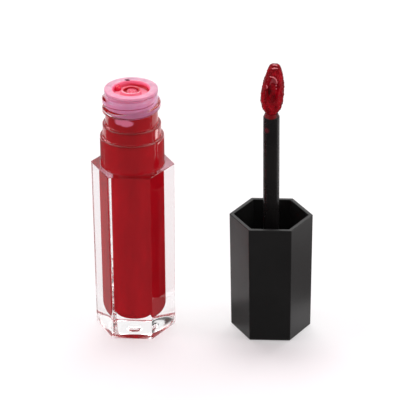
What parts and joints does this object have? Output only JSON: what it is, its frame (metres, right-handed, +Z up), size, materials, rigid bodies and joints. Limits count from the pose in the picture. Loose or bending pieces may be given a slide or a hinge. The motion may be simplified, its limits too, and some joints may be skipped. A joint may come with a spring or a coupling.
{
  "type": "lip gloss tube",
  "caption": "Open lip gloss tube: clear hexagonal bottle of red gloss with threaded neck and wiper, and its upturned black hexagonal cap with applicator wand.",
  "frame": {"origin": "centre of the bottle's base, on the surface it stands on", "axes": "+Z up along the bottle's axis; +X from the bottle towards the cap that stands beside it, along a corner of the bottle's hexagon; -Y is the side seen in the picture"},
  "size_m": [0.0564, 0.0207, 0.0738],
  "materials": {
    "bottle": "clear, thick-walled, polished",
    "gloss": "wet red gloss",
    "wiper": "translucent, tinted pink by the gloss",
    "cap_black": "satin black",
    "liner_black": "plain black",
    "seal": "soft, off-white",
    "stem_black": "satin black",
    "core": "plain",
    "flock": "flocked, wet with red gloss"
  },
  "bodies": {
    "bottle_body": {"bottle": "bottle", "gloss_fill": "gloss", "wiper_insert": "wiper"},
    "cap_seal": {"seal_disc": "seal"},
    "cap_and_wand": {"cap": "cap_black", "inner_cap": "liner_black", "wand_stem": "stem_black", "tip_core": "core", "tip_flock": "flock"}
  },
  "joints": [
    {"name": "cap_lift", "type": "slide", "parent": "bottle_body", "child": "cap_seal", "axis": [0, 0, 1], "range_m": [0, 0.065]},
    {"name": "cap_turn", "type": "hinge", "parent": "cap_seal", "child": "cap_and_wand", "pos_m": [0.035, 0.002, 0], "axis": [0, 0, 1], "range_deg": [0, 450]}
  ]
}
